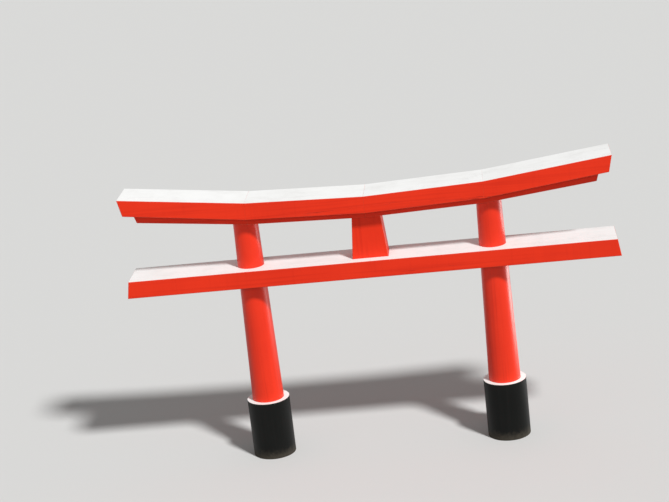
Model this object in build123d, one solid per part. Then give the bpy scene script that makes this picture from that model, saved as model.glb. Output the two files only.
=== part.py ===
"""A painted timber torii gate.

Two round pillars stand in base sleeves. A deep tie beam of two timbers, the nuki, clasps the
pillars. A tapered strut, the gakuzuka, stands on its middle. The lintel lies on the pillar heads
in two layers, the shimaki under the kasagi, and rises towards its ends. Thin white boards cap the
kasagi and the nuki.

Sizes are in millimetres. X runs along the beams, Y from front to back and Z up. The origin is on
the ground, midway between the pillars.
"""

from build123d import *

import os

# Pillars: round and tapered, on vertical centre lines.
pillar_spacing = 3000.0
pillar_foot_radius = 214.0
pillar_head_radius = 154.0

# Base sleeves round the pillar feet: two half shells under a flat ring.
sleeve_radius = 268.0
sleeve_height = 748.0
ring_thickness = 8.0

# Nuki. Its ends lean outwards as they go down.
nuki_underside = 2295.0
nuki_height = 216.0
nuki_depth = 576.0
nuki_overhang = 1504.0
nuki_end_flare = 35.0

# Lintel lines. They bend on the centre line and just inside each pillar's centre line, and the
# end heights hold at the kasagi's tips. The lintel height is that of the kasagi's underside.
lintel_height = 3117.0
bend_rise = 51.0
end_rise = 239.0
bend_inset = 50.0

# Kasagi, the longer and deeper layer. Its ends are undercut.
kasagi_height = 212.0
kasagi_end_height = 203.0
kasagi_depth = 576.0
kasagi_overhang = 1502.0
kasagi_undercut = 45.0

# Shimaki, the lower layer, which the kasagi overhangs all round.
shimaki_height = 78.0
shimaki_bend_height = 83.0
shimaki_end_height = 105.0
shimaki_depth = 402.0
shimaki_overhang = 1340.0
shimaki_undercut = 33.0

# Gakuzuka, wider at its foot.
gakuzuka_foot_width = 444.0
gakuzuka_head_width = 352.0
gakuzuka_depth = 300.0

# White boards on top of the kasagi and the nuki.
cap_thickness = 8.0

# Tenons, out of sight inside the beams. A reach is how far one goes into its last beam.
pillar_tenon = {"width": 80.0, "depth": 120.0, "reach": 110.0}
head_tenon = {"width": 80.0, "depth": 100.0, "reach": 60.0}
foot_tenon = {"width": 100.0, "depth": 80.0, "reach": 100.0}

# Clearances and small edges.
round_gap = 0.4
mortise_gap = 1.0
timber_chamfer = 5.0
board_chamfer = 2.0

# What follows from the sizes above.
pillar_x = pillar_spacing / 2
bend_x = pillar_x - bend_inset
kasagi_tip_x = pillar_x + kasagi_overhang
shimaki_tip_x = pillar_x + shimaki_overhang
nuki_tip_x = pillar_x + nuki_overhang
nuki_top = nuki_underside + nuki_height
nuki_timber_top = nuki_top - cap_thickness
ring_seat = sleeve_height - ring_thickness

on_base = (Align.CENTER, Align.CENTER, Align.MIN)
sides = {"left": -1, "right": 1}
spans = {
    "outer_left": (-1, True),
    "inner_left": (-1, False),
    "inner_right": (1, False),
    "outer_right": (1, True),
}


def between(low, high, share):
    """The value a share of the way from low to high."""
    return low + (high - low) * share


def line(centre, bend, end):
    """A lintel line, which is a function that gives its height above the ground at x."""
    def height_at(x):
        reach = abs(x)
        if reach <= bend_x:
            return between(centre, bend, reach / bend_x)
        return between(bend, end, (reach - bend_x) / (kasagi_tip_x - bend_x))

    return height_at


kasagi_under = line(lintel_height, lintel_height + bend_rise, lintel_height + end_rise)
kasagi_top = line(
    lintel_height + kasagi_height,
    lintel_height + bend_rise + kasagi_height,
    lintel_height + end_rise + kasagi_end_height,
)
shimaki_under = line(
    lintel_height - shimaki_height,
    lintel_height + bend_rise - shimaki_bend_height,
    lintel_height + end_rise - shimaki_end_height,
)
pillar_head = shimaki_under(pillar_x)


def cap_under(x):
    """The underside of the boards on the kasagi, and the top of its timber."""
    return kasagi_top(x) - cap_thickness


def prism(points, y_low, y_high):
    """A solid with the outline given by (x, z) points, from y_low to y_high."""
    outline = Plane.XZ * Polygon(*points, align=None)
    solid = extrude(outline, amount=(y_high - y_low) / 2, both=True)
    return Pos(0, (y_low + y_high) / 2, 0) * solid


def upright_box(width, depth, z_low, z_high, x=0.0):
    """A box centred on x and on y = 0, between two heights."""
    return Pos(x, 0, z_low) * Box(width, depth, z_high - z_low, align=on_base)


def tenon(size, z_low, z_high, x=0.0, gap=0.0):
    """A tenon, or with a gap the mortise that takes it."""
    return upright_box(size["width"] + 2 * gap, size["depth"] + 2 * gap, z_low, z_high, x)


def pillar_radius(z):
    """The pillar's radius at height z."""
    return between(pillar_foot_radius, pillar_head_radius, z / pillar_head)


def pillar_cone(side, z_low, z_high, gap=0.0):
    """A pillar's tapered body between two heights, grown by a gap all round."""
    cone = Cone(
        pillar_radius(z_low) + gap, pillar_radius(z_high) + gap, z_high - z_low, align=on_base
    )
    return Pos(side * pillar_x, 0, z_low) * cone


def pillar_tenon_top():
    """How high the tenon on a pillar's head stands."""
    return kasagi_under(pillar_x) + pillar_tenon["reach"]


def head_tenon_top():
    """How high the tenon on the gakuzuka's head stands."""
    return kasagi_under(0) + head_tenon["reach"]


def space_over_shimaki_underside():
    """Everything above the line on which the pillars and the gakuzuka are cut to length."""
    corners = (-kasagi_tip_x, -bend_x, 0.0, bend_x, kasagi_tip_x)
    ceiling = pillar_tenon_top() + kasagi_height
    points = [(x, shimaki_under(x)) for x in corners]
    points += [(kasagi_tip_x, ceiling), (-kasagi_tip_x, ceiling)]
    return prism(points, -shimaki_depth, shimaki_depth)


def lintel_mortises():
    """What both lintel layers lose to the tenons of the pillars and the gakuzuka."""
    low = nuki_top
    cut = tenon(head_tenon, low, head_tenon_top() + mortise_gap, 0.0, mortise_gap)
    for side in sides.values():
        x = side * pillar_x
        cut += tenon(pillar_tenon, low, pillar_tenon_top() + mortise_gap, x, mortise_gap)
    return cut


def chamfer_free(solid, size, joints, wanted):
    """Chamfers the edges that lie on no joint plane and whose middle is wanted."""
    chosen = []
    for edge in solid.edges():
        on_joint = any(
            all(abs(vertex.X - joint) < 0.01 for vertex in edge.vertices()) for joint in joints
        )
        if wanted(edge.center()) and not on_joint:
            chosen.append(edge)
    return chamfer(chosen, size)


def make_pillar(side):
    """A tapered pillar, cut to the lintel's slopes, with a tenon on its head."""
    spare = pillar_foot_radius
    body = pillar_cone(side, 0.0, pillar_head + spare) - space_over_shimaki_underside()
    return body + tenon(pillar_tenon, nuki_top, pillar_tenon_top(), side * pillar_x)


def make_sleeve_half(side, y_side):
    """One half shell of a base sleeve, bored to the pillar's taper."""
    x = side * pillar_x
    tube = Pos(x, 0, 0) * Cylinder(sleeve_radius, ring_seat, align=on_base)
    tube -= pillar_cone(side, 0.0, ring_seat, round_gap)
    width = 2 * sleeve_radius
    half = Pos(x, y_side * width / 2, 0) * Box(width, width, ring_seat, align=on_base)
    return tube & half


def make_ring(side):
    """The flat ring on top of a base sleeve."""
    disc = Pos(side * pillar_x, 0, ring_seat) * Cylinder(
        sleeve_radius, ring_thickness, align=on_base
    )
    disc = chamfer(disc.edges().group_by(Axis.Z)[-1], board_chamfer)
    return disc - pillar_cone(side, ring_seat, sleeve_height, round_gap)


def nuki_reach(z):
    """How far the nuki's ends reach from the centre line at height z."""
    return nuki_tip_x + nuki_end_flare * (nuki_top - z) / nuki_height


def make_nuki_timber(y_side):
    """The front or the back timber of the nuki, notched round both pillars."""
    low, high = nuki_underside, nuki_timber_top
    points = [(-nuki_reach(low), low), (nuki_reach(low), low),
              (nuki_reach(high), high), (-nuki_reach(high), high)]
    face = nuki_depth / 2
    y_low, y_high = sorted((0.0, y_side * face))
    timber = prism(points, y_low, y_high)
    timber = chamfer_free(
        timber, timber_chamfer, (), lambda at: abs(at.Y) > face - 1 and at.Z < high - 1
    )
    for side in sides.values():
        timber -= pillar_cone(side, low, high, round_gap)
    mortise_floor = high - foot_tenon["reach"] - mortise_gap
    return timber - tenon(foot_tenon, mortise_floor, nuki_top, 0.0, mortise_gap)


def make_nuki_cap(span):
    """A white board on the nuki, notched round the pillar and the gakuzuka's foot."""
    side, is_outer = spans[span]
    low, high = nuki_timber_top, nuki_top
    near = side * (pillar_x if is_outer else 0.0)
    far_low = side * (nuki_reach(low) if is_outer else pillar_x)
    far_high = side * (nuki_reach(high) if is_outer else pillar_x)
    points = [(near, low), (far_low, low), (far_high, high), (near, high)]
    board = prism(points, -nuki_depth / 2, nuki_depth / 2)
    joints = (near,) if is_outer else (near, far_high)
    board = chamfer_free(board, board_chamfer, joints, lambda at: at.Z > high - 0.01)
    board -= pillar_cone(side, low, high, round_gap)
    foot_width = gakuzuka_foot_width + 2 * mortise_gap
    foot_depth = gakuzuka_depth + 2 * mortise_gap
    return board - upright_box(foot_width, foot_depth, low, high)


def make_gakuzuka():
    """The tapered strut, cut to the lintel's slopes, with a tenon at each end."""
    low, head, high = nuki_timber_top, shimaki_under(0), kasagi_under(0)
    lean = (gakuzuka_foot_width - gakuzuka_head_width) / 2 / (head - low)
    foot = gakuzuka_foot_width / 2
    tip = foot - lean * (high - low)
    face = gakuzuka_depth / 2
    body = prism([(-foot, low), (foot, low), (tip, high), (-tip, high)], -face, face)
    middle = (low + high) / 2
    body = chamfer_free(body, timber_chamfer, (), lambda at: abs(at.Z - middle) < 1)
    body -= space_over_shimaki_underside()
    body += tenon(head_tenon, nuki_top, head_tenon_top())
    return body + tenon(foot_tenon, low - foot_tenon["reach"], nuki_top)


def make_length(span, under, top, depth, under_tip, top_tip):
    """One straight length of a lintel layer, from joint to joint or from joint to tip."""
    side, is_outer = spans[span]
    near = bend_x if is_outer else 0.0
    far_under = under_tip if is_outer else bend_x
    far_top = top_tip if is_outer else bend_x
    points = [(side * near, under(near)), (side * far_under, under(far_under)),
              (side * far_top, top(far_top)), (side * near, top(near))]
    return prism(points, -depth / 2, depth / 2)


def joints_of(span):
    """The planes x = joint where a length meets its neighbours."""
    side, is_outer = spans[span]
    return (side * bend_x,) if is_outer else (0.0, side * bend_x)


def make_shimaki(span):
    """One length of the lower lintel."""
    length = make_length(span, shimaki_under, kasagi_under, shimaki_depth,
                         shimaki_tip_x - shimaki_undercut, shimaki_tip_x)
    length = chamfer_free(
        length, timber_chamfer, joints_of(span), lambda at: at.Z < kasagi_under(at.X) - 1
    )
    return length - lintel_mortises()


# The undercut runs on through the boards, so they take their share of it.
kasagi_timber_tip_x = kasagi_tip_x - kasagi_undercut * cap_thickness / kasagi_end_height


def make_kasagi(span):
    """One length of the upper lintel."""
    length = make_length(span, kasagi_under, cap_under, kasagi_depth,
                         kasagi_tip_x - kasagi_undercut, kasagi_timber_tip_x)
    length = chamfer_free(
        length, timber_chamfer, joints_of(span), lambda at: at.Z < cap_under(at.X) - 1
    )
    return length - lintel_mortises()


def make_kasagi_cap(span):
    """The white board on one length of the upper lintel."""
    board = make_length(span, cap_under, kasagi_top, kasagi_depth,
                        kasagi_timber_tip_x, kasagi_tip_x)
    return chamfer_free(
        board, board_chamfer, joints_of(span), lambda at: at.Z > kasagi_top(at.X) - 0.5
    )


def all_pieces():
    """Every piece of the gate, by node name."""
    pieces = {}
    for name, side in sides.items():
        pieces[f"pillar_{name}"] = make_pillar(side)
        pieces[f"base_sleeve_{name}_front"] = make_sleeve_half(side, -1)
        pieces[f"base_sleeve_{name}_back"] = make_sleeve_half(side, 1)
        pieces[f"sleeve_ring_{name}"] = make_ring(side)
    pieces["nuki_front"] = make_nuki_timber(-1)
    pieces["nuki_back"] = make_nuki_timber(1)
    pieces["gakuzuka"] = make_gakuzuka()
    for span in spans:
        pieces[f"nuki_cap_{span}"] = make_nuki_cap(span)
        pieces[f"shimaki_{span}"] = make_shimaki(span)
        pieces[f"kasagi_{span}"] = make_kasagi(span)
        pieces[f"kasagi_cap_{span}"] = make_kasagi_cap(span)
    return pieces


os.makedirs("parts", exist_ok=True)
for node, shape in all_pieces().items():
    export_step(shape, f"parts/{node}.step")
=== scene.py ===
"""Finishes a painted timber torii gate: eased arrises, paint on planed timber, weather, studio.

Lengths are in metres. X runs along the beams, Y from front to back and Z up, as in the frame.
"""

from math import pi, radians, sin

import bmesh
import bpy
from bpy.props import FloatProperty, FloatVectorProperty, IntProperty, PointerProperty
from bpy.types import Operator, Panel, PropertyGroup
from mathutils import Matrix, Vector


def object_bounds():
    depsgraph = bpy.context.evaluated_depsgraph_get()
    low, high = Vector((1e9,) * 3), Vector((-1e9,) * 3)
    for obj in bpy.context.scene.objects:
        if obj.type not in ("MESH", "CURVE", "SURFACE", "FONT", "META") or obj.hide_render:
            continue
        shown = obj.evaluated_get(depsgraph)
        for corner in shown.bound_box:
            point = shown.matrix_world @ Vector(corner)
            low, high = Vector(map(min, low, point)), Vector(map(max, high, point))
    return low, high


bl_info = {
    "name": "Torii Gate",
    "version": (1, 0, 0),
    "blender": (4, 5, 0),
    "location": "3D View > Sidebar > Torii Gate",
    "description": "Finishes the pieces of a painted timber torii gate and sets its studio",
    "category": "Object",
}

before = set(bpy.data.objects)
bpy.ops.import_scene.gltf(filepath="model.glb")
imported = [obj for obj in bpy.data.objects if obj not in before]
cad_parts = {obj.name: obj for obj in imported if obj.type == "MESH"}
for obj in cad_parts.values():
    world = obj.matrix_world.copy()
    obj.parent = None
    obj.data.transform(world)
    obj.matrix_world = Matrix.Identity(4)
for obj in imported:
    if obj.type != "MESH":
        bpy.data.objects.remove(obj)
cad_box = [list(corner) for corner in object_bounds()]
gate_low, gate_high = (Vector(corner) for corner in cad_box)
gate_middle = (gate_low + gate_high) / 2

SIDES = ("left", "right")
SPANS = ("outer_left", "inner_left", "inner_right", "outer_right")
# How the names of the pieces that stand upright begin
UPRIGHT = ("pillar", "base_sleeve", "sleeve_ring", "gakuzuka")

# Two faces that meet at more than this have an arris between them
SHARP_ANGLE = radians(25)
# Loose corners closer than this are one corner
SAME_PLACE = 0.00001

# How far the grain wanders off a straight line
GRAIN_WANDER = 0.05
# How much of the grain's height is fine fibres, and the rest is the bands of its growth
FIBRE_SHARE = 0.45
# How ragged the top of the splashes is, against their height
SPLASH_RAGGEDNESS = 1.3

# How far each effect takes a paint towards its other colour, from 0 to 1
DARK_GRAIN_SHARE = 0.42
THICK_COAT_SHARE = 0.34
STREAK_SHARE = 0.20
CHECK_SHADE_SHARE = 0.35
WORN_SHARE = 0.60
SETTLED_SHARE = 0.12
SPLASH_SHARE = 0.26
# How bright the painted shade at the bottom of a drying check is, against the deep tone of its
# paint
CHECK_SHADE_BRIGHTNESS = 0.25

# What each effect adds to a paint's roughness where it is strongest
THICK_COAT_ROUGHNESS = 0.20
BRUSH_ROUGHNESS = 0.10
SPLASH_ROUGHNESS = 0.30
WORN_ROUGHNESS = 0.15

# How far up from the ground rain splashes, unless the settings say otherwise
SPLASH_HEIGHT = 0.13

WHITE_LIGHT = (1.0, 1.0, 1.0, 1.0)
# The floor lies this far under the feet, so that the two never share a plane
FLOOR_GAP = 0.0005
# How far the lamps stand from the gate, how large the softboxes are, and what the rim lamp faces
KEY_DISTANCE = 20.0
FILL_DISTANCE = 18.0
FILL_SIZE = (9.0, 5.0)
RIM_DISTANCE = 5.0
RIM_SIZE = (2.4, 2.3)
RIM_HEIGHT = 1.2


def nodes_named(pattern, words):
    """The CAD nodes whose names are the pattern with each word put in."""
    return [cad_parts[pattern.format(word)] for word in words]


# Settings


class GateTimber(PropertyGroup):
    """The timber under the paint."""

    beam_arris: FloatProperty(
        name="Beam arris",
        description="How far back from a sharp edge the pillars, beams and strut are eased",
        default=0.003,
        min=0.0,
        unit="LENGTH",
    )
    board_arris: FloatProperty(
        name="Board arris",
        description="How far back from a sharp edge the boards, rings and sleeves are eased",
        default=0.0015,
        min=0.0,
        unit="LENGTH",
    )
    arris_steps: IntProperty(
        name="Arris steps",
        description="Faces round each eased arris",
        default=2,
        min=1,
    )
    grain_depth: FloatProperty(
        name="Grain depth",
        description="Height of the grain that shows through the paint",
        default=0.0010,
        min=0.0,
        unit="LENGTH",
    )
    check_depth: FloatProperty(
        name="Check depth",
        description="Depth of the drying checks",
        default=0.002,
        min=0.0,
        unit="LENGTH",
    )
    brush_depth: FloatProperty(
        name="Brush depth",
        description="Height of the brush marks in the paint",
        default=0.0004,
        min=0.0,
        unit="LENGTH",
    )


class GatePaint(PropertyGroup):
    """The paints and what time has done to them."""

    red: FloatVectorProperty(
        name="Vermilion",
        description="The red of the pillars, beams and strut",
        default=(0.83, 0.034, 0.008),
        min=0.0,
        max=1.0,
        subtype="COLOR",
    )
    red_shade: FloatVectorProperty(
        name="Deep vermilion",
        description="The red where the coat is thick or the grain is dark",
        default=(0.64, 0.021, 0.005),
        min=0.0,
        max=1.0,
        subtype="COLOR",
    )
    black: FloatVectorProperty(
        name="Black",
        description="The lacquer of the base sleeves",
        default=(0.0045, 0.005, 0.0045),
        min=0.0,
        max=1.0,
        subtype="COLOR",
    )
    black_shade: FloatVectorProperty(
        name="Faded black",
        description="The black where the coat has gone dull",
        default=(0.012, 0.012, 0.0115),
        min=0.0,
        max=1.0,
        subtype="COLOR",
    )
    # Painted light: this white stands for strong light falling from above on the tops of the
    # boards and rings
    white: FloatVectorProperty(
        name="White",
        description="The white on top of the boards and rings",
        default=(0.87, 0.87, 0.86),
        min=0.0,
        max=1.0,
        subtype="COLOR",
    )
    white_shade: FloatVectorProperty(
        name="Weathered white",
        description="The white where rain has left it grey",
        default=(0.76, 0.755, 0.74),
        min=0.0,
        max=1.0,
        subtype="COLOR",
    )
    red_worn: FloatVectorProperty(
        name="Worn vermilion",
        description="The red where an arris is rubbed and the coat is thin",
        default=(0.80, 0.16, 0.07),
        min=0.0,
        max=1.0,
        subtype="COLOR",
    )
    black_worn: FloatVectorProperty(
        name="Worn black",
        description="The brown wood that shows on a rubbed edge of a sleeve",
        default=(0.085, 0.060, 0.042),
        min=0.0,
        max=1.0,
        subtype="COLOR",
    )
    white_worn: FloatVectorProperty(
        name="Worn white",
        description="The grey wood that shows on a rubbed edge of a board or ring",
        default=(0.46, 0.42, 0.36),
        min=0.0,
        max=1.0,
        subtype="COLOR",
    )
    dust: FloatVectorProperty(
        name="Dust",
        description="What rain splashes up from the ground",
        default=(0.20, 0.17, 0.13),
        min=0.0,
        max=1.0,
        subtype="COLOR",
    )
    splash_height: FloatProperty(
        name="Splash height",
        description="How far up from the ground dust reaches",
        default=SPLASH_HEIGHT,
        min=0.01,
        unit="LENGTH",
    )


class GateStudio(PropertyGroup):
    """The floor, the lamps and the camera."""

    floor_radius: FloatProperty(
        name="Floor radius",
        description="Radius of the round floor",
        default=90.0,
        unit="LENGTH",
    )
    floor_colour: FloatVectorProperty(
        name="Floor colour",
        description="Colour of the floor",
        default=(0.66, 0.66, 0.65),
        min=0.0,
        max=1.0,
        subtype="COLOR",
    )
    floor_bounce: FloatProperty(
        name="Floor bounce",
        description="Share of its light that the floor throws back onto the gate",
        default=0.42,
        min=0.0,
        max=1.0,
        subtype="FACTOR",
    )
    sky_light: FloatProperty(
        name="Sky light",
        description="Even light from all round",
        default=0.26,
        min=0.0,
    )
    key_light: FloatProperty(
        name="Key light",
        description="Share of a full exposure that the key lamp gives a face turned to it",
        default=1.03,
        min=0.0,
    )
    key_softness: FloatProperty(
        name="Key softness",
        description="How wide the key lamp looks from the gate",
        default=radians(7),
        subtype="ANGLE",
    )
    key_azimuth: FloatProperty(
        name="Key azimuth",
        description="How far round to the right of the front the key lamp stands",
        default=radians(40),
        subtype="ANGLE",
    )
    key_elevation: FloatProperty(
        name="Key elevation",
        description="How high the key lamp stands",
        default=radians(50),
        subtype="ANGLE",
    )
    fill_light: FloatProperty(
        name="Fill light",
        description="Share of a full exposure that the fill lamp gives a face turned to it",
        default=0.18,
        min=0.0,
    )
    fill_azimuth: FloatProperty(
        name="Fill azimuth",
        description="How far round to the right of the front the fill lamp stands",
        default=radians(-12),
        subtype="ANGLE",
    )
    fill_elevation: FloatProperty(
        name="Fill elevation",
        description="How high the fill lamp stands",
        default=radians(25),
        subtype="ANGLE",
    )
    rim_light: FloatProperty(
        name="Rim light",
        description="Share of a full exposure that the rim lamp gives an upright piece's face",
        default=0.5,
        min=0.0,
    )
    rim_azimuth: FloatProperty(
        name="Rim azimuth",
        description="How far round to the right of the front the rim lamp stands",
        default=radians(112),
        subtype="ANGLE",
    )
    camera_place: FloatVectorProperty(
        name="Camera place",
        description="Where the camera stands",
        default=(1.632, -21.220, 8.928),
        subtype="TRANSLATION",
    )
    camera_heading: FloatProperty(
        name="Camera heading",
        description="How far the camera is turned to its left from looking straight back",
        default=radians(5.59),
        subtype="ANGLE",
    )
    camera_tilt: FloatProperty(
        name="Camera tilt",
        description="The camera's angle up from looking straight down",
        default=radians(73.45),
        subtype="ANGLE",
    )
    camera_roll: FloatProperty(
        name="Camera roll",
        description="How far the camera leans to its left about its own line of sight",
        default=radians(-6.70),
        subtype="ANGLE",
    )
    camera_lens: FloatProperty(
        name="Camera lens",
        description="Focal length, in millimetres, on a sensor 36 mm wide",
        default=96.9,
    )


# Shader node groups and materials


def add_node(tree, kind, settings=None, **inputs):
    """A new shader node with its settings, and its inputs set or linked by name."""
    node = tree.nodes.new("ShaderNode" + kind)
    for name, value in (settings or {}).items():
        setattr(node, name, value)
    for name, value in inputs.items():
        socket = find_input(node, name)
        if isinstance(value, bpy.types.NodeSocket):
            tree.links.new(value, socket)
        else:
            socket.default_value = value
    return node


def find_input(node, name):
    """The enabled input with this name, where _ stands for a space."""
    wanted = name.replace("_", " ")
    for socket in node.inputs:
        if socket.enabled and socket.name == wanted:
            return socket
    raise KeyError(f"{node.bl_idname} has no input {wanted!r}")


def colour(rgb):
    """A colour with full alpha."""
    return (*rgb, 1.0)


def start_group(name, inputs, outputs):
    """A new shader group with named sockets, and the sockets of its two ends."""
    group = bpy.data.node_groups.new(name, "ShaderNodeTree")
    for socket_name, kind, value in inputs:
        socket = group.interface.new_socket(socket_name, in_out="INPUT", socket_type=kind)
        if value is not None:
            socket.default_value = value
    for socket_name, kind in outputs:
        group.interface.new_socket(socket_name, in_out="OUTPUT", socket_type=kind)
    start = group.nodes.new("NodeGroupInput").outputs
    end = group.nodes.new("NodeGroupOutput").inputs
    return group, start, end


def use_group(tree, group, **inputs):
    """The outputs of a group placed in a material."""
    node = tree.nodes.new("ShaderNodeGroup")
    node.node_tree = group
    for name, value in inputs.items():
        socket = node.inputs[name.replace("_", " ")]
        if isinstance(value, bpy.types.NodeSocket):
            tree.links.new(value, socket)
        else:
            socket.default_value = value
    return node.outputs


def stretched(tree, vector, along, across):
    """The vector scaled so that a pattern is drawn out along X."""
    mapping = add_node(tree, "Mapping", Vector=vector, Scale=(along, across, across))
    return mapping.outputs["Vector"]


def noise(tree, vector, scale, detail=3.0, roughness=0.5):
    """Noise between 0 and 1."""
    node = add_node(
        tree, "TexNoise", Vector=vector, Scale=scale, Detail=detail, Roughness=roughness
    )
    return node.outputs["Fac"]


def drawn_out_noise(tree, vector, along, across, detail, roughness=0.5):
    """Noise drawn out along X, with a scale along X and another across it."""
    return noise(tree, stretched(tree, vector, along, across), 1.0, detail, roughness)


def face_normal(tree):
    """The way that the surface faces, as its three parts along X, Y and Z."""
    facing = add_node(tree, "NewGeometry").outputs["Normal"]
    return add_node(tree, "SeparateXYZ", Vector=facing).outputs


def ramp(tree, value, low, high, to_low=0.0, to_high=1.0):
    """A value taken smoothly from one range to another."""
    node = add_node(
        tree,
        "MapRange",
        {"interpolation_type": "SMOOTHSTEP"},
        Value=value,
        From_Min=low,
        From_Max=high,
        To_Min=to_low,
        To_Max=to_high,
    )
    return node.outputs["Result"]


def maths(tree, operation, first, second=None, third=None):
    """A sum, product or other operation on values."""
    node = tree.nodes.new("ShaderNodeMath")
    node.operation = operation
    for socket, value in zip(node.inputs, (first, second, third)):
        if isinstance(value, bpy.types.NodeSocket):
            tree.links.new(value, socket)
        elif value is not None:
            socket.default_value = value
    return node.outputs["Value"]


def blend_colours(tree, share, first, second):
    """The first colour going over to the second by the share."""
    node = tree.nodes.new("ShaderNodeMix")
    node.data_type = "RGBA"
    sockets = {socket.identifier: socket for socket in node.inputs}
    for name, value in (
        ("Factor_Float", share),
        ("A_Color", first),
        ("B_Color", second),
    ):
        if isinstance(value, bpy.types.NodeSocket):
            tree.links.new(value, sockets[name])
        else:
            sockets[name].default_value = value
    return next(s for s in node.outputs if s.identifier == "Result_Color")


def make_grain_group():
    """Planed timber with its grain along X: its height, dark bands and drying checks.

    Where End Grain is 1, faces that look along X show the growth rings end on.
    """
    group, start, end = start_group(
        "Planed grain",
        [("Vector", "NodeSocketVector", None), ("End Grain", "NodeSocketFloat", 0.0)],
        [
            ("Height", "NodeSocketFloat"),
            ("Dark", "NodeSocketFloat"),
            ("Checks", "NodeSocketFloat"),
        ],
    )
    straight = start["Vector"]
    slow = stretched(group, straight, along=0.5, across=2.0)
    wander = add_node(group, "TexNoise", Vector=slow, Scale=1.0)
    bent = add_node(group, "VectorMath", {"operation": "SCALE"}, Scale=GRAIN_WANDER)
    group.links.new(wander.outputs["Color"], bent.inputs[0])
    moved = add_node(group, "VectorMath", {"operation": "ADD"})
    group.links.new(straight, moved.inputs[0])
    group.links.new(bent.outputs["Vector"], moved.inputs[1])
    place = moved.outputs["Vector"]

    fibres = drawn_out_noise(group, place, along=3.0, across=160.0, detail=4.0, roughness=0.6)
    bands = drawn_out_noise(group, place, along=0.7, across=34.0, detail=2.0)
    figure = drawn_out_noise(group, place, along=0.35, across=6.0, detail=2.0)
    height = maths(group, "MULTIPLY", bands, 1.0 - FIBRE_SHARE)
    height = maths(group, "MULTIPLY_ADD", fibres, FIBRE_SHARE, height)
    dark_bands = ramp(group, bands, 0.42, 0.68)
    dark = maths(group, "MULTIPLY", dark_bands, ramp(group, figure, 0.35, 0.60))
    # A check runs where this noise crosses its middle value, in the timber's boldest figure
    cracks = drawn_out_noise(group, place, along=1.1, across=46.0, detail=3.0, roughness=0.4)
    off_line = maths(group, "ABSOLUTE", maths(group, "SUBTRACT", cracks, 0.5))
    thin = ramp(group, off_line, 0.003, 0.010, to_low=1.0, to_high=0.0)
    checks = maths(group, "MULTIPLY", thin, ramp(group, figure, 0.64, 0.70))

    # On an end the growth rings are flat arcs, close together in height and long in depth
    end_on = add_node(group, "Mapping", Vector=place, Scale=(0.0, 9.0, 95.0)).outputs["Vector"]
    rings = noise(group, end_on, scale=1.0, detail=2.0, roughness=0.45)
    looks_along = maths(group, "ABSOLUTE", face_normal(group)["X"])
    cut = maths(group, "MULTIPLY", ramp(group, looks_along, 0.6, 0.8), start["End Grain"])
    along = maths(group, "SUBTRACT", 1.0, cut)
    height = maths(group, "MULTIPLY_ADD", rings, cut, maths(group, "MULTIPLY", height, along))
    dark_rings = ramp(group, rings, 0.46, 0.62)
    dark = maths(group, "MULTIPLY_ADD", dark_rings, cut, maths(group, "MULTIPLY", dark, along))
    group.links.new(height, end["Height"])
    group.links.new(dark, end["Dark"])
    group.links.new(maths(group, "MULTIPLY", checks, along), end["Checks"])
    return group


def make_brush_group():
    """Brushed paint: the height of the brush marks and the slow unevenness of the coat."""
    group, start, end = start_group(
        "Brushed coat",
        [("Vector", "NodeSocketVector", None)],
        [("Height", "NodeSocketFloat"), ("Cloud", "NodeSocketFloat")],
    )
    place = start["Vector"]
    strokes = drawn_out_noise(group, place, along=5.0, across=90.0, detail=2.0, roughness=0.55)
    drag = drawn_out_noise(group, place, along=1.5, across=9.0, detail=1.0)
    height = maths(group, "MULTIPLY", strokes, ramp(group, drag, 0.30, 0.70, to_low=0.4))
    cloud = noise(group, place, scale=1.3, roughness=0.55)
    group.links.new(height, end["Height"])
    group.links.new(cloud, end["Cloud"])
    return group


def make_wear_group():
    """Rubbed arrises: a mask that is 1 where an eased arris is worn.

    An arris faces between two axes. The side of a turned piece does so too without being one,
    so Round is 1 there, and only what faces between level and upright counts.
    """
    group, start, end = start_group(
        "Rubbed arris",
        [("Vector", "NodeSocketVector", None), ("Round", "NodeSocketFloat", 0.0)],
        [("Mask", "NodeSocketFloat")],
    )
    parts = face_normal(group)
    x, y, z = (maths(group, "ABSOLUTE", parts[axis]) for axis in "XYZ")
    y_squared = maths(group, "MULTIPLY", y, y)
    level = maths(group, "SQRT", maths(group, "MULTIPLY_ADD", x, x, y_squared))
    squared_off = maths(group, "SUBTRACT", 1.0, start["Round"])
    corner = maths(group, "MULTIPLY", maths(group, "MINIMUM", x, y), squared_off)
    between = maths(group, "MAXIMUM", maths(group, "MINIMUM", level, z), corner)
    patches = noise(group, start["Vector"], scale=7.0, detail=5.0, roughness=0.6)
    rubbed = ramp(group, patches, 0.38, 0.62, to_low=0.15)
    mask = maths(group, "MULTIPLY", ramp(group, between, 0.30, 0.55), rubbed)
    group.links.new(mask, end["Mask"])
    return group


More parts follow.
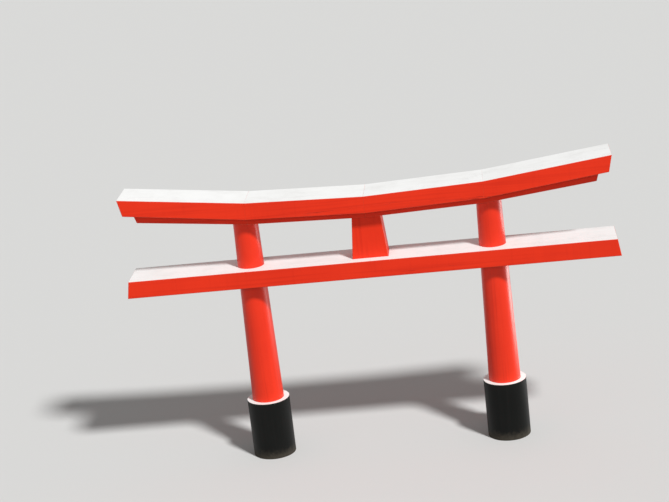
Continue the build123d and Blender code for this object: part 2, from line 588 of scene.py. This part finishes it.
def make_weather_group():
    """Weather: rain streaks on upright faces, dust on flat tops, and splashes near the ground.

    Top is 1 on the faces that look up, where the boards and rings are painted white as light from
    above.
    """
    group, start, end = start_group(
        "Weather",
        [
            ("Vector", "NodeSocketVector", None),
            ("Splash Height", "NodeSocketFloat", SPLASH_HEIGHT),
        ],
        [
            ("Streaks", "NodeSocketFloat"),
            ("Settled", "NodeSocketFloat"),
            ("Splash", "NodeSocketFloat"),
            ("Top", "NodeSocketFloat"),
        ],
    )
    place = start["Vector"]
    slope = face_normal(group)["Z"]
    group.links.new(ramp(group, slope, 0.80, 0.95), end["Top"])

    upright = ramp(group, maths(group, "ABSOLUTE", slope), 0.2, 0.6, to_low=1.0, to_high=0.0)
    # Rain runs down in narrow streaks, so this noise is drawn out along Z
    runs = add_node(group, "Mapping", Vector=place, Scale=(26.0, 26.0, 0.9)).outputs["Vector"]
    trails = noise(group, runs, scale=1.0, detail=4.0, roughness=0.6)
    streaks = maths(group, "MULTIPLY", ramp(group, trails, 0.52, 0.78), upright)
    group.links.new(streaks, end["Streaks"])

    blotches = noise(group, place, scale=3.2, detail=5.0, roughness=0.65)
    patches = ramp(group, blotches, 0.40, 0.80)
    settled = maths(group, "MULTIPLY", patches, ramp(group, slope, 0.5, 0.9))
    group.links.new(settled, end["Settled"])

    height = add_node(group, "SeparateXYZ", Vector=place).outputs["Z"]
    share = maths(group, "DIVIDE", height, start["Splash Height"])
    drops = noise(group, place, scale=22.0, detail=5.0, roughness=0.7)
    ragged = maths(group, "MULTIPLY_ADD", drops, SPLASH_RAGGEDNESS, share)
    group.links.new(ramp(group, ragged, 0.55, 1.75, to_low=1.0, to_high=0.0), end["Splash"])
    return group


def make_paint(
    name,
    groups,
    main,
    shade,
    worn,
    upright=False,
    turned=False,
    grain=1.0,
    roughness=0.4,
    specular=0.3,
    edge_colour=None,
):
    """A painted-timber material. The grain runs along X, or up the piece if it is upright.

    With an edge colour, only the faces that look up have the main paint, as painted top light.
    Grain is how much of the timber's grain shows, and a turned piece is round, as from a lathe.
    """
    timber, paint = bpy.context.scene.torii_timber, bpy.context.scene.torii_paint
    material = bpy.data.materials.new(name)
    material.use_nodes = True
    tree = material.node_tree
    shader = tree.nodes["Principled BSDF"]
    place = add_node(tree, "TexCoord").outputs["Object"]
    turn = (0.0, radians(90), 0.0) if upright else (0.0, 0.0, 0.0)
    along = add_node(tree, "Mapping", Vector=place, Rotation=turn).outputs["Vector"]

    wood = use_group(
        tree, groups["grain"], Vector=along, End_Grain=0.0 if upright or turned else 1.0
    )
    brush = use_group(tree, groups["brush"], Vector=along)
    edge = use_group(tree, groups["wear"], Vector=place, Round=1.0 if turned else 0.0)
    weather = use_group(tree, groups["weather"], Vector=place, Splash_Height=paint.splash_height)

    thick_coat = ramp(tree, brush["Cloud"], 0.35, 0.75)
    deep = maths(tree, "MULTIPLY", wood["Dark"], DARK_GRAIN_SHARE * grain)
    deep = maths(tree, "MULTIPLY_ADD", thick_coat, THICK_COAT_SHARE, deep)
    deep = maths(tree, "MULTIPLY_ADD", weather["Streaks"], STREAK_SHARE, deep)
    tone = blend_colours(tree, deep, colour(main), colour(shade))
    # Painted light: the faces that look up keep the main paint as light from above, and the rest
    # take the edge colour
    if edge_colour is not None:
        tone = blend_colours(tree, weather["Top"], colour(edge_colour), tone)
    # The drying checks are darkened as painted shade inside the cracks; the worn arrises, dust
    # and splashes are real marks
    for mask, share, shown in (
        (wood["Checks"], CHECK_SHADE_SHARE, [part * CHECK_SHADE_BRIGHTNESS for part in shade]),
        (edge["Mask"], WORN_SHARE, worn),
        (weather["Settled"], SETTLED_SHARE, paint.dust),
        (weather["Splash"], SPLASH_SHARE, paint.dust),
    ):
        tone = blend_colours(tree, maths(tree, "MULTIPLY", mask, share), tone, colour(shown))
    tree.links.new(tone, shader.inputs["Base Color"])

    # The cloud varies about its middle value, so the coat keeps its mean roughness
    dull = roughness - THICK_COAT_ROUGHNESS / 2
    for mask, added in (
        (brush["Cloud"], THICK_COAT_ROUGHNESS),
        (brush["Height"], BRUSH_ROUGHNESS),
        (weather["Splash"], SPLASH_ROUGHNESS),
        (edge["Mask"], WORN_ROUGHNESS),
    ):
        dull = maths(tree, "MULTIPLY_ADD", mask, added, dull)
    tree.links.new(dull, shader.inputs["Roughness"])
    shader.inputs["Specular IOR Level"].default_value = specular

    # Each bump adds its relief to the one before it
    relief = None
    for height, depth, sunk in (
        (wood["Height"], timber.grain_depth * grain, False),
        (brush["Height"], timber.brush_depth, False),
        (wood["Checks"], timber.check_depth * grain, True),
    ):
        bump = add_node(
            tree, "Bump", {"invert": sunk}, Strength=1.0, Distance=depth, Height=height
        )
        if relief is not None:
            tree.links.new(relief, bump.inputs["Normal"])
        relief = bump.outputs["Normal"]
    tree.links.new(relief, shader.inputs["Normal"])
    return material


def gate_materials():
    """The materials by name, with the gate's paints made the first time."""
    if "Vermilion beam" in bpy.data.materials:
        return bpy.data.materials
    paint = bpy.context.scene.torii_paint
    groups = {
        "grain": make_grain_group(),
        "brush": make_brush_group(),
        "wear": make_wear_group(),
        "weather": make_weather_group(),
    }
    reds = (paint.red, paint.red_shade, paint.red_worn)
    blacks = (paint.black, paint.black_shade, paint.black_worn)
    top_light_whites_and_wear = (paint.white, paint.white_shade, paint.white_worn)
    squared = {"roughness": 0.42, "specular": 0.25}
    make_paint("Vermilion beam", groups, *reds, **squared)
    make_paint("Vermilion strut", groups, *reds, upright=True, **squared)

    column = {"upright": True, "turned": True}
    make_paint("Vermilion pillar", groups, *reds, **column, roughness=0.34, specular=0.35)
    make_paint(
        "Black sleeve", groups, *blacks, **column, grain=0.5, roughness=0.42, specular=0.13
    )

    # The boards and rings are white on their tops only, as painted light from above; rubbed
    # arrises show real wear
    top = {"grain": 0.7, "roughness": 0.50, "specular": 0.4}
    make_paint("Board with painted top light", groups, *top_light_whites_and_wear, edge_colour=paint.red, **top)
    make_paint("Ring with painted top light", groups, *top_light_whites_and_wear, turned=True, edge_colour=paint.black, **top)
    return bpy.data.materials


def finish_timber(nodes, material_name, arris):
    """Gives CAD pieces their paint and eases their arrises."""
    material = gate_materials()[material_name]
    for node in nodes:
        for slot in node.material_slots:
            slot.material = material
        ease_arrises(node, arris)


def ease_arrises(piece, width):
    """Rounds a piece's sharp edges, and keeps its flat faces flat."""
    joined = piece.modifiers.new("Joined faces", "NODES")
    joined.node_group = joined_faces_group()
    bevel = piece.modifiers.new("Eased arris", "BEVEL")
    bevel.width = width
    bevel.segments = bpy.context.scene.torii_timber.arris_steps
    bevel.limit_method = "ANGLE"
    bevel.angle_limit = SHARP_ANGLE
    bevel.harden_normals = True


def joined_faces_group():
    """Joins loose triangles into one skin, smooth but for its sharp edges. It is made once."""
    if "Joined faces" in bpy.data.node_groups:
        return bpy.data.node_groups["Joined faces"]
    group = bpy.data.node_groups.new("Joined faces", "GeometryNodeTree")
    for way in ("INPUT", "OUTPUT"):
        group.interface.new_socket("Geometry", in_out=way, socket_type="NodeSocketGeometry")
    start = group.nodes.new("NodeGroupInput")
    join = group.nodes.new("GeometryNodeMergeByDistance")
    join.inputs["Distance"].default_value = SAME_PLACE
    fold = group.nodes.new("GeometryNodeInputMeshEdgeAngle")
    sharp = group.nodes.new("FunctionNodeCompare")
    sharp.data_type = "FLOAT"
    sharp.operation = "GREATER_THAN"
    sharp.inputs["B"].default_value = SHARP_ANGLE
    shade = group.nodes.new("GeometryNodeSetMeshNormal")
    shade.mode = "SHARPNESS"
    shade.inputs["Remove Custom"].default_value = True
    end = group.nodes.new("NodeGroupOutput")
    for output, socket in (
        (start.outputs["Geometry"], join.inputs["Geometry"]),
        (join.outputs["Geometry"], shade.inputs["Mesh"]),
        (fold.outputs["Unsigned Angle"], sharp.inputs["A"]),
        (sharp.outputs["Result"], shade.inputs["Edge Sharpness"]),
        (shade.outputs["Mesh"], end.inputs["Geometry"]),
    ):
        group.links.new(output, socket)
    return group


# Operators


class TORII_OT_pillars(Operator):
    """Finish the two pillars"""

    bl_idname = "torii.pillars"
    bl_label = "Pillars"

    def execute(self, context):
        arris = context.scene.torii_timber.beam_arris
        pillars = nodes_named("pillar_{}", SIDES)
        finish_timber(pillars, "Vermilion pillar", arris)
        return {"FINISHED"}


class TORII_OT_sleeves(Operator):
    """Finish the black base sleeves and their white rings"""

    bl_idname = "torii.sleeves"
    bl_label = "Base sleeves"

    def execute(self, context):
        arris = context.scene.torii_timber.board_arris
        halves = [f"{side}_{half}" for side in SIDES for half in ("front", "back")]
        sleeves = nodes_named("base_sleeve_{}", halves)
        finish_timber(sleeves, "Black sleeve", arris)
        rings = nodes_named("sleeve_ring_{}", SIDES)
        finish_timber(rings, "Ring with painted top light", arris)
        return {"FINISHED"}


class TORII_OT_nuki(Operator):
    """Finish the tie beam and the boards on it"""

    bl_idname = "torii.nuki"
    bl_label = "Nuki"

    def execute(self, context):
        timber = context.scene.torii_timber
        beams = nodes_named("nuki_{}", ("front", "back"))
        finish_timber(beams, "Vermilion beam", timber.beam_arris)
        boards = nodes_named("nuki_cap_{}", SPANS)
        finish_timber(boards, "Board with painted top light", timber.board_arris)
        return {"FINISHED"}


class TORII_OT_gakuzuka(Operator):
    """Finish the centre strut"""

    bl_idname = "torii.gakuzuka"
    bl_label = "Gakuzuka"

    def execute(self, context):
        arris = context.scene.torii_timber.beam_arris
        finish_timber([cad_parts["gakuzuka"]], "Vermilion strut", arris)
        return {"FINISHED"}


class TORII_OT_lintel(Operator):
    """Finish both layers of the lintel and the boards on it"""

    bl_idname = "torii.lintel"
    bl_label = "Kasagi and shimaki"

    def execute(self, context):
        timber = context.scene.torii_timber
        for layer in ("shimaki_{}", "kasagi_{}"):
            beams = nodes_named(layer, SPANS)
            finish_timber(beams, "Vermilion beam", timber.beam_arris)
        boards = nodes_named("kasagi_cap_{}", SPANS)
        finish_timber(boards, "Board with painted top light", timber.board_arris)
        return {"FINISHED"}


class TORII_OT_studio(Operator):
    """Set the floor, the lamps and the camera"""

    bl_idname = "torii.studio"
    bl_label = "Studio"

    def execute(self, context):
        studio = context.scene.torii_studio
        make_floor(studio)
        make_surroundings(context.scene, studio)
        make_lamps(studio)
        make_camera(context.scene, studio)
        context.scene.view_settings.view_transform = "Standard"
        return {"FINISHED"}


def direction(azimuth, elevation):
    """The unit vector towards a place that far round to the right of the front, and that high."""
    round_to_it = Matrix.Rotation(azimuth, 3, "Z")
    up_to_it = Matrix.Rotation(-elevation, 3, "X")
    return round_to_it @ up_to_it @ Vector((0, -1, 0))


def make_floor(studio):
    """A round floor just under the gate's feet, which throws back less light than it shows."""
    mesh = bpy.data.meshes.new("floor")
    shape = bmesh.new()
    bmesh.ops.create_circle(shape, cap_ends=True, segments=128, radius=studio.floor_radius)
    bmesh.ops.translate(shape, verts=shape.verts, vec=(0, 0, -FLOOR_GAP))
    shape.to_mesh(mesh)
    shape.free()
    floor = bpy.data.objects.new("floor", mesh)
    bpy.context.scene.collection.objects.link(floor)
    material = bpy.data.materials.new("Floor")
    material.use_nodes = True
    tree = material.node_tree
    shader = tree.nodes["Principled BSDF"]
    shown = colour(studio.floor_colour)
    thrown_back = colour(part * studio.floor_bounce for part in studio.floor_colour)
    tone = blend_colours(tree, seen_by_eye(tree), thrown_back, shown)
    tree.links.new(tone, shader.inputs["Base Color"])
    shader.inputs["Roughness"].default_value = 0.9
    shader.inputs["Specular IOR Level"].default_value = 0.2
    mesh.materials.append(material)


def make_surroundings(scene, studio):
    """Even light from all round, which the camera and reflections see as bright as the floor."""
    world = bpy.data.worlds.new("Studio")
    world.use_nodes = True
    tree = world.node_tree
    shown = tree.nodes["Background"]
    light_on_floor = studio.sky_light + studio.key_light * sin(studio.key_elevation)
    shown.inputs["Color"].default_value = colour(studio.floor_colour)
    shown.inputs["Strength"].default_value = light_on_floor
    light = add_node(tree, "Background", Color=WHITE_LIGHT, Strength=studio.sky_light)
    both = tree.nodes.new("ShaderNodeMixShader")
    tree.links.new(seen_by_eye(tree), both.inputs[0])
    tree.links.new(light.outputs["Background"], both.inputs[1])
    tree.links.new(shown.outputs["Background"], both.inputs[2])
    tree.links.new(both.outputs["Shader"], tree.nodes["World Output"].inputs["Surface"])
    scene.world = world


def seen_by_eye(tree):
    """1 for the rays of the camera and of reflections, and 0 for those that carry light."""
    path = add_node(tree, "LightPath").outputs
    seen = maths(tree, "MAXIMUM", path["Is Camera Ray"], path["Is Glossy Ray"])
    return maths(tree, "MAXIMUM", seen, path["Is Transmission Ray"])


def make_lamps(studio):
    """A key lamp, a broad fill on the gate alone, and a rim lamp on its upright pieces."""
    key = bpy.data.lights.new("Key lamp", "SUN")
    key.energy = studio.key_light * pi
    key.angle = studio.key_softness
    key_way = direction(studio.key_azimuth, studio.key_elevation)
    place_lamp(key, gate_middle, key_way, KEY_DISTANCE)

    fill = make_softbox("Fill lamp", studio.fill_light, FILL_DISTANCE, FILL_SIZE)
    fill_way = direction(studio.fill_azimuth, studio.fill_elevation)
    fill_holder = place_lamp(fill, gate_middle, fill_way, FILL_DISTANCE)
    fill_holder.visible_glossy = False

    rim = make_softbox("Rim lamp", studio.rim_light, RIM_DISTANCE, RIM_SIZE)
    rim_way = direction(studio.rim_azimuth, 0.0)
    rim_holder = place_lamp(rim, Vector((0, 0, RIM_HEIGHT)), rim_way, RIM_DISTANCE)

    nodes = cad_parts
    light_only(fill_holder, nodes.values())
    light_only(rim_holder, [node for name, node in nodes.items() if name.startswith(UPRIGHT)])


def light_only(holder, pieces):
    """Keeps a lamp's light off everything but these pieces."""
    lit = bpy.data.collections.new("Lit by " + holder.name)
    for piece in pieces:
        lit.objects.link(piece)
    holder.light_linking.receiver_collection = lit


def make_softbox(name, share, distance, size):
    """A rectangular lamp that gives a face this share of a full exposure at a distance."""
    lamp = bpy.data.lights.new(name, "AREA")
    lamp.shape = "RECTANGLE"
    lamp.size, lamp.size_y = size
    lamp.energy = share * (pi * distance) ** 2
    return lamp


def place_lamp(lamp, target, towards, distance):
    """Puts a lamp in the scene, facing the target from a distance, and unseen by the camera."""
    holder = bpy.data.objects.new(lamp.name, lamp)
    turn = towards.to_track_quat("Z", "Y").to_matrix().to_4x4()
    holder.matrix_world = Matrix.Translation(target + towards * distance) @ turn
    holder.visible_camera = False
    bpy.context.scene.collection.objects.link(holder)
    return holder


def make_camera(scene, studio):
    """The camera, which stands to the front right, above the gate, and leans to one side."""
    lens = bpy.data.cameras.new("Camera")
    lens.lens = studio.camera_lens
    lens.sensor_width = 36.0
    lens.clip_end = 500.0
    camera = bpy.data.objects.new("Camera", lens)
    camera.matrix_world = (
        Matrix.Translation(studio.camera_place)
        @ Matrix.Rotation(studio.camera_heading, 4, "Z")
        @ Matrix.Rotation(studio.camera_tilt, 4, "X")
        @ Matrix.Rotation(studio.camera_roll, 4, "Z")
    )
    scene.collection.objects.link(camera)
    scene.camera = camera


class TORII_PT_gate(Panel):
    """The gate's tools, in the sidebar of the 3D view"""

    bl_idname = "TORII_PT_gate"
    bl_label = "Torii Gate"
    bl_space_type = "VIEW_3D"
    bl_region_type = "UI"
    bl_category = "Torii Gate"

    def draw(self, context):
        layout = self.layout
        for operator in OPERATORS:
            layout.operator(operator.bl_idname)
        for settings in (
            context.scene.torii_timber,
            context.scene.torii_paint,
            context.scene.torii_studio,
        ):
            box = layout.box()
            for name in settings.__annotations__:
                box.prop(settings, name)


OPERATORS = (
    TORII_OT_studio,
    TORII_OT_pillars,
    TORII_OT_sleeves,
    TORII_OT_nuki,
    TORII_OT_gakuzuka,
    TORII_OT_lintel,
)
CLASSES = (GateTimber, GatePaint, GateStudio, *OPERATORS, TORII_PT_gate)


def register():
    """Adds the classes and the settings."""
    for each in CLASSES:
        bpy.utils.register_class(each)
    bpy.types.Scene.torii_timber = PointerProperty(type=GateTimber)
    bpy.types.Scene.torii_paint = PointerProperty(type=GatePaint)
    bpy.types.Scene.torii_studio = PointerProperty(type=GateStudio)


def unregister():
    """Takes the settings and the classes away."""
    del bpy.types.Scene.torii_studio
    del bpy.types.Scene.torii_paint
    del bpy.types.Scene.torii_timber
    for each in reversed(CLASSES):
        bpy.utils.unregister_class(each)


def main():
    """Runs every operator."""
    register()
    bpy.ops.torii.studio()
    bpy.ops.torii.pillars()
    bpy.ops.torii.sleeves()
    bpy.ops.torii.nuki()
    bpy.ops.torii.gakuzuka()
    bpy.ops.torii.lintel()
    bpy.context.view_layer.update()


if __name__ == "__main__":
    main()
